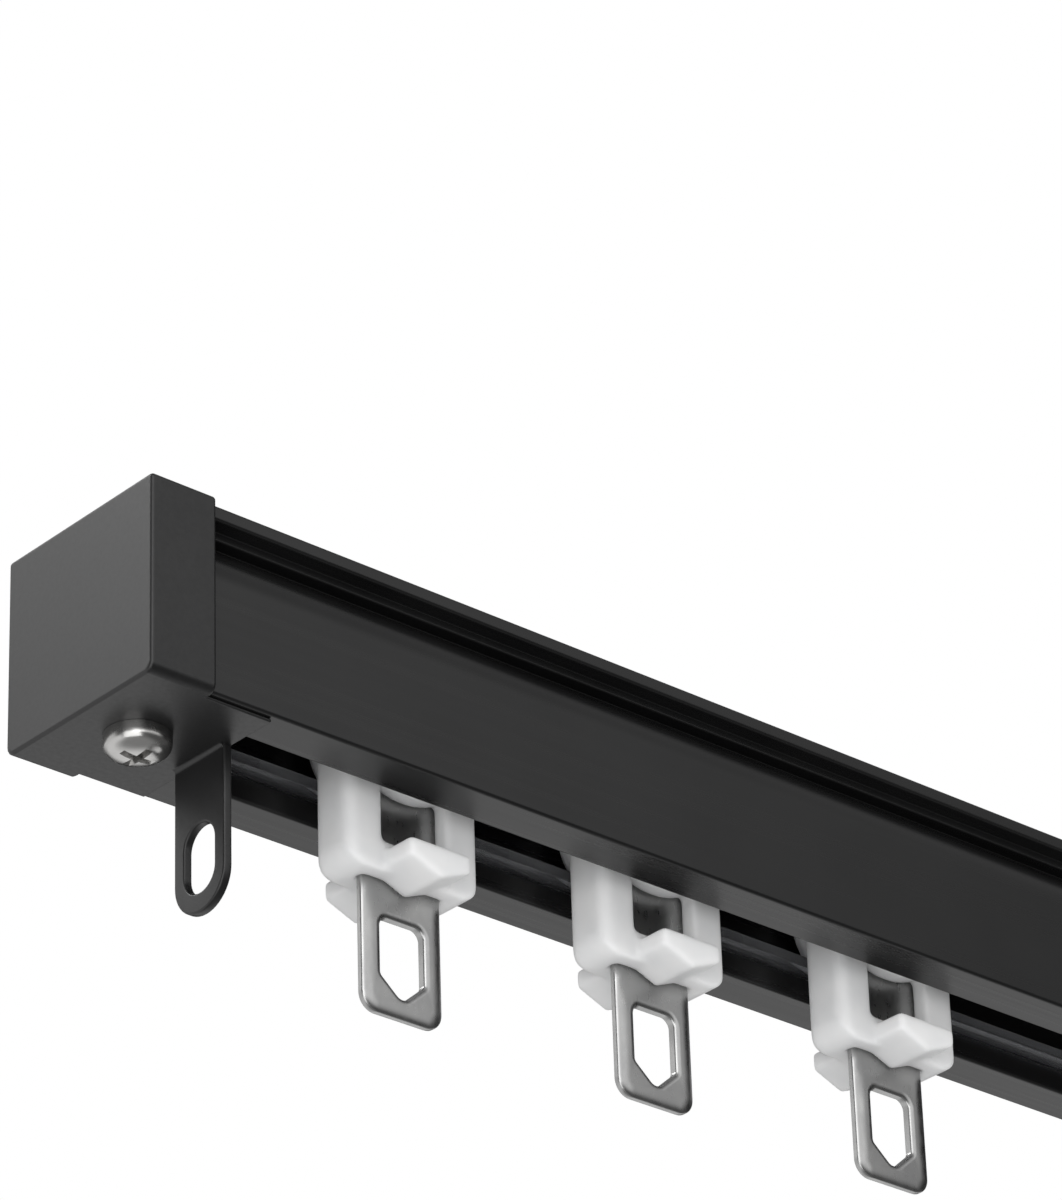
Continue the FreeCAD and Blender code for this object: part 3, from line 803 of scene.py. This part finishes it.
def wheel_profile():
    """One side of the wheel's section: a round tread between two dished faces."""
    tread = []
    for k in range(2 * ARC_STEPS + 1):
        turn = math.pi * (k / (2 * ARC_STEPS) - 0.5)
        drop = TREAD_DEPTH * (1 - abs(math.cos(turn)) ** TREAD_FULLNESS)
        along = WHEEL_HALF * math.copysign(abs(math.sin(turn)) ** TREAD_SPREAD, turn)
        tread.append((WHEEL_RADIUS - drop, along))
    face = [(radius, WHEEL_HALF - setback) for radius, setback in WHEEL_FACE]
    return [(radius, -along) for radius, along in reversed(face)] + tread + face


def roller(x, side):
    """A wheel on one end of the axle."""
    return lathe(wheel_profile(), lambda u, v, w: facing(x + u, AXLE_Z + v, side * (WHEEL_Y + w)))


def make_carrier(carrier, materials):
    """One carrier: its moulded body, hook plate and axle, and its two wheels."""
    low, high = reach(carrier + "_axle")
    x = (low.x + high.x) / 2
    moulding = soft_body(carrier + "_body")
    add_piece(carrier + "_moulding", moulding, materials, carrier, "nylon_white", carrier + "_body")
    hook = mesh_data(carrier + "_hook", rolled_plate(x))
    add_piece(carrier + "_hook", hook, materials, carrier, "hook_stainless", carrier + "_hook_plate")
    pin = mesh_data(carrier + "_pin", axle_pin(x))
    add_piece(carrier + "_pin", pin, materials, carrier, "axle_black", carrier + "_axle")
    for name, side in SIDES.items():
        wheel = carrier + "_wheel_" + name
        tyre = mesh_data(carrier + "_roller_" + name, roller(x, side))
        add_piece(carrier + "_roller_" + name, tyre, materials, wheel, "nylon_white", wheel)


# Stage, light and camera

def blend(tree, value, span, low, high):
    """One strength turning into another as a value, such as a direction's share along an axis,
    crosses a span."""
    node = tree.nodes.new("ShaderNodeMapRange")
    node.inputs["From Min"].default_value, node.inputs["From Max"].default_value = span
    tree.links.new(value, node.inputs["Value"])
    for name, strength in (("To Min", low), ("To Max", high)):
        if isinstance(strength, float):
            node.inputs[name].default_value = strength
        else:
            tree.links.new(strength, node.inputs[name])
    return node.outputs["Result"]


def studio_front(tree, x, z):
    """The studio's front: brightest at the left, dark at both ends and dim below."""
    wall = blend(tree, x, (0.48, 0.74), 1.3, 0.0)
    wall = blend(tree, x, (-0.45, -0.15), 3.2, wall)
    wall = blend(tree, x, (-0.85, -0.65), 0.05, wall)
    return blend(tree, z, (-0.2, 0.15), 0.1, wall)


def studio_back(tree, x, y, z):
    """The studio's back: grey at the left, dark at the right and next to the front, bright below."""
    wall = blend(tree, x, (-0.2, 0.3), 0.85, 0.03)
    wall = blend(tree, y, (0.25, 0.45), 0.05, wall)
    return blend(tree, z, (-0.35, -0.1), 1.0, wall)


def studio(tree, x, y, z):
    """The studio all round: its front and its back, dim straight below and overhead."""
    around = blend(tree, y, (-0.15, 0.15), studio_front(tree, x, z), studio_back(tree, x, y, z))
    around = blend(tree, z, (-0.9, -0.65), 0.3, around)
    return blend(tree, z, (0.52, 0.68), around, 0.35)


def make_world(ambient_front, ambient_back):
    """White to the camera and through clear plastic, a studio in what gloss mirrors, and
    otherwise a soft light."""
    world = bpy.data.worlds.new("studio")
    bpy.context.scene.world = world
    world.use_nodes = True
    tree = world.node_tree
    background = tree.nodes["Background"]
    background.inputs["Color"].default_value = (1, 1, 1, 1)
    path = tree.nodes.new("ShaderNodeLightPath")
    direction = tree.nodes.new("ShaderNodeTexCoord")
    parts = tree.nodes.new("ShaderNodeSeparateXYZ")
    tree.links.new(direction.outputs["Generated"], parts.inputs["Vector"])
    x, y, z = (parts.outputs[axis] for axis in "XYZ")
    ambient = blend(tree, y, (-0.3, 0.3), ambient_front, ambient_back)
    gloss = blend(tree, path.outputs["Is Glossy Ray"], (0, 1), ambient, studio(tree, x, y, z))
    clear = blend(tree, path.outputs["Is Transmission Ray"], (0, 1), gloss, 1.0)
    seen = blend(tree, path.outputs["Is Camera Ray"], (0, 1), clear, 1.0)
    tree.links.new(seen, background.inputs["Strength"])


def make_lamp(name, direction, distance, size, power):
    """A soft square lamp that looks at the middle of what the camera sees."""
    data = bpy.data.lights.new(name, "AREA")
    data.size = size
    data.energy = power
    lamp = bpy.data.objects.new(name, data)
    target = LAMP_TARGET * MM
    lamp.location = target + Vector(direction).normalized() * distance
    lamp.rotation_euler = (target - lamp.location).to_track_quat("-Z", "Y").to_euler()
    bpy.context.scene.collection.objects.link(lamp)


def make_camera():
    """The view from under the capped end, looking up along the track."""
    data = bpy.data.cameras.new("camera")
    data.sensor_width = SENSOR_WIDTH
    data.lens = LENS
    data.clip_start = CLIP_START
    data.clip_end = CLIP_END
    camera = bpy.data.objects.new("camera", data)
    up = CAMERA_RIGHT.cross(CAMERA_FORWARD)
    turned = Matrix((CAMERA_RIGHT, up, -CAMERA_FORWARD)).transposed().to_4x4()
    camera.matrix_world = Matrix.Translation(CAMERA_PLACE * MM) @ turned
    bpy.context.scene.collection.objects.link(camera)
    bpy.context.scene.camera = camera


finishes = {
    "track_black": anodised_black(),
    "cut": cut_aluminium(),
    "cap_grey": powder_coat(),
    "screw_nickel": nickel_plate(),
    "clamp_steel": zinc_steel(),
    "strip_clear": clear_plastic(),
    "nylon_white": milky_nylon(),
    "hook_stainless": tumbled_stainless(),
    "axle_black": black_steel(),
}
make_track(finishes)
make_strips(finishes)
make_cap(finishes)
make_screw(finishes)
# The clamp plate is hidden in the cap, so it keeps its solid's form
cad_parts["cap_clamp_plate"].data.materials[0] = finishes["clamp_steel"]
for number in range(1, CARRIERS + 1):
    make_carrier("carrier_%d" % number, finishes)

make_camera()
make_world(ambient_front=0.8, ambient_back=0.35)
make_lamp("key", direction=(-0.75, -0.5, -0.35), distance=1.3, size=1.2, power=8.3)
make_lamp("side", direction=(-0.5, 0.5, 0.7), distance=2.5, size=0.9, power=20)
bpy.context.scene.view_settings.view_transform = "Standard"
